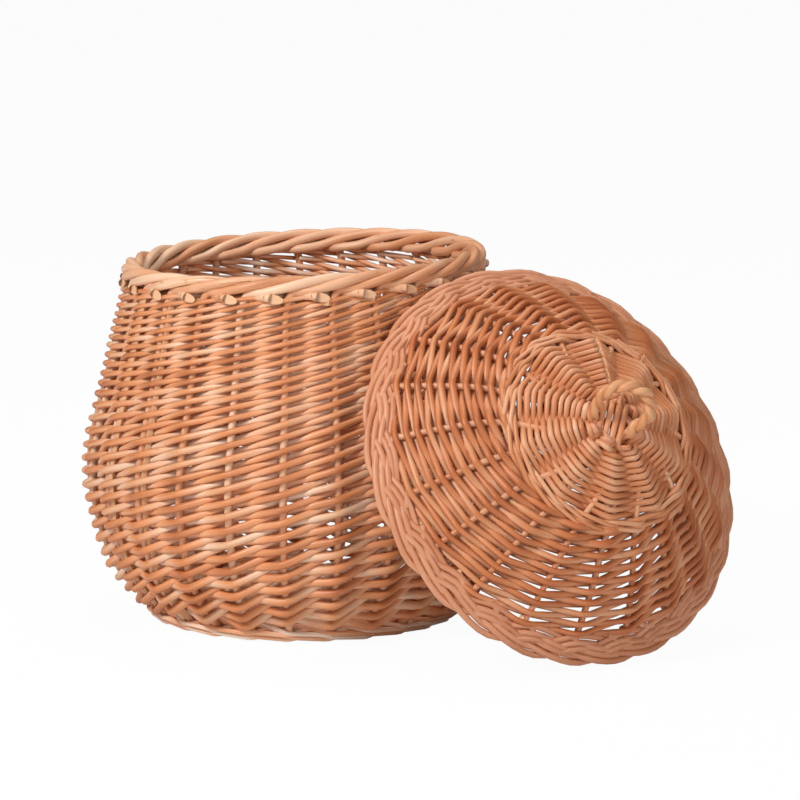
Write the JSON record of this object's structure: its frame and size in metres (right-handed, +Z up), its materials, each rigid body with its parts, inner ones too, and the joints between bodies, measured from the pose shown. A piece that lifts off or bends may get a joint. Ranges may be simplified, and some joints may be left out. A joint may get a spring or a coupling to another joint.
{
  "type": "onion basket",
  "caption": "Round-bellied woven willow basket with an open mouth and a separate domed woven lid with a twisted ring handle, leaning beside it.",
  "frame": {"origin": "on the floor, under the middle of the basket and its leaning lid taken together", "axes": "+Z up, +X towards the side where the lid leans, -Y towards the viewer of the picture"},
  "size_m": [0.3886, 0.3282, 0.223],
  "materials": {
    "stick_and_stakes_1": "matt peeled willow",
    "stick_and_stakes_2": "matt peeled willow",
    "stick_and_stakes_3": "matt peeled willow",
    "stick_and_stakes_4": "matt peeled willow",
    "stick_and_stakes_5": "matt peeled willow",
    "stick_and_stakes_6": "matt peeled willow",
    "stick_and_stakes_7": "matt peeled willow",
    "base_weave": "matt peeled willow",
    "foot_rod": "matt peeled willow",
    "foot_wale": "matt peeled willow",
    "weaver_1": "matt peeled willow",
    "weaver_2": "matt peeled willow",
    "weaver_3": "matt peeled willow",
    "weaver_4": "matt peeled willow",
    "weaver_5": "matt peeled willow",
    "weaver_6": "matt peeled willow",
    "weaver_7": "matt peeled willow",
    "weaver_8": "matt peeled willow",
    "weaver_9": "matt peeled willow",
    "weaver_10": "matt peeled willow",
    "weaver_11": "matt peeled willow",
    "weaver_12": "matt peeled willow",
    "weaver_13": "matt peeled willow",
    "weaver_14": "matt peeled willow",
    "weaver_15": "matt peeled willow",
    "weaver_16": "matt peeled willow",
    "weaver_17": "matt peeled willow",
    "weaver_18": "matt peeled willow",
    "weaver_19": "matt peeled willow",
    "weaver_20": "matt peeled willow",
    "weaver_21": "matt peeled willow",
    "weaver_22": "matt peeled willow",
    "weaver_23": "matt peeled willow",
    "weaver_24": "matt peeled willow",
    "weaver_25": "matt peeled willow",
    "lid_stick_and_ribs_1": "matt peeled willow",
    "lid_stick_and_ribs_2": "matt peeled willow",
    "lid_stick_and_ribs_3": "matt peeled willow",
    "lid_stick_and_ribs_4": "matt peeled willow",
    "lid_stick_and_ribs_5": "matt peeled willow",
    "lid_stick_and_ribs_6": "matt peeled willow",
    "lid_stick_and_ribs_7": "matt peeled willow",
    "lid_heart": "matt peeled willow",
    "lid_wale_1": "matt peeled willow",
    "lid_wale_2": "matt peeled willow",
    "lid_weaver_1": "matt peeled willow",
    "lid_weaver_2": "matt peeled willow",
    "lid_weaver_3": "matt peeled willow",
    "lid_weaver_4": "matt peeled willow",
    "lid_plait": "matt peeled willow",
    "ring_handle": "matt peeled willow"
  },
  "bodies": {
    "basket": {"stick_and_stakes_1": "stick_and_stakes_1", "stick_and_stakes_2": "stick_and_stakes_2", "stick_and_stakes_3": "stick_and_stakes_3", "stick_and_stakes_4": "stick_and_stakes_4", "stick_and_stakes_5": "stick_and_stakes_5", "stick_and_stakes_6": "stick_and_stakes_6", "stick_and_stakes_7": "stick_and_stakes_7", "base_weave": "base_weave", "foot_rod": "foot_rod", "foot_wale": "foot_wale", "weaver_01": "weaver_1", "weaver_02": "weaver_2", "weaver_03": "weaver_3", "weaver_04": "weaver_4", "weaver_05": "weaver_5", "weaver_06": "weaver_6", "weaver_07": "weaver_7", "weaver_08": "weaver_8", "weaver_09": "weaver_9", "weaver_10": "weaver_10", "weaver_11": "weaver_11", "weaver_12": "weaver_12", "weaver_13": "weaver_13", "weaver_14": "weaver_14", "weaver_15": "weaver_15", "weaver_16": "weaver_16", "weaver_17": "weaver_17", "weaver_18": "weaver_18", "weaver_19": "weaver_19", "weaver_20": "weaver_20", "weaver_21": "weaver_21", "weaver_22": "weaver_22", "weaver_23": "weaver_23", "weaver_24": "weaver_24", "weaver_25": "weaver_25"},
    "lid": {"lid_stick_and_ribs_1": "lid_stick_and_ribs_1", "lid_stick_and_ribs_2": "lid_stick_and_ribs_2", "lid_stick_and_ribs_3": "lid_stick_and_ribs_3", "lid_stick_and_ribs_4": "lid_stick_and_ribs_4", "lid_stick_and_ribs_5": "lid_stick_and_ribs_5", "lid_stick_and_ribs_6": "lid_stick_and_ribs_6", "lid_stick_and_ribs_7": "lid_stick_and_ribs_7", "lid_heart": "lid_heart", "lid_wale_1": "lid_wale_1", "lid_wale_2": "lid_wale_2", "lid_weaver_1": "lid_weaver_1", "lid_weaver_2": "lid_weaver_2", "lid_weaver_3": "lid_weaver_3", "lid_weaver_4": "lid_weaver_4", "lid_plait": "lid_plait"},
    "ring": {"ring_handle": "ring_handle"}
  },
  "joints": [
    {"name": "lid_slide", "type": "slide", "parent": "basket", "child": "lid", "axis": [0.524, -0.8517, 0], "range_m": [0, 0.3]},
    {"name": "ring_hinge", "type": "hinge", "parent": "lid", "child": "ring", "pos_m": [0.11752, -0.1325, 0.14487], "axis": [-0.8595, -0.216, 0.4632], "range_deg": [-103, 53]}
  ]
}
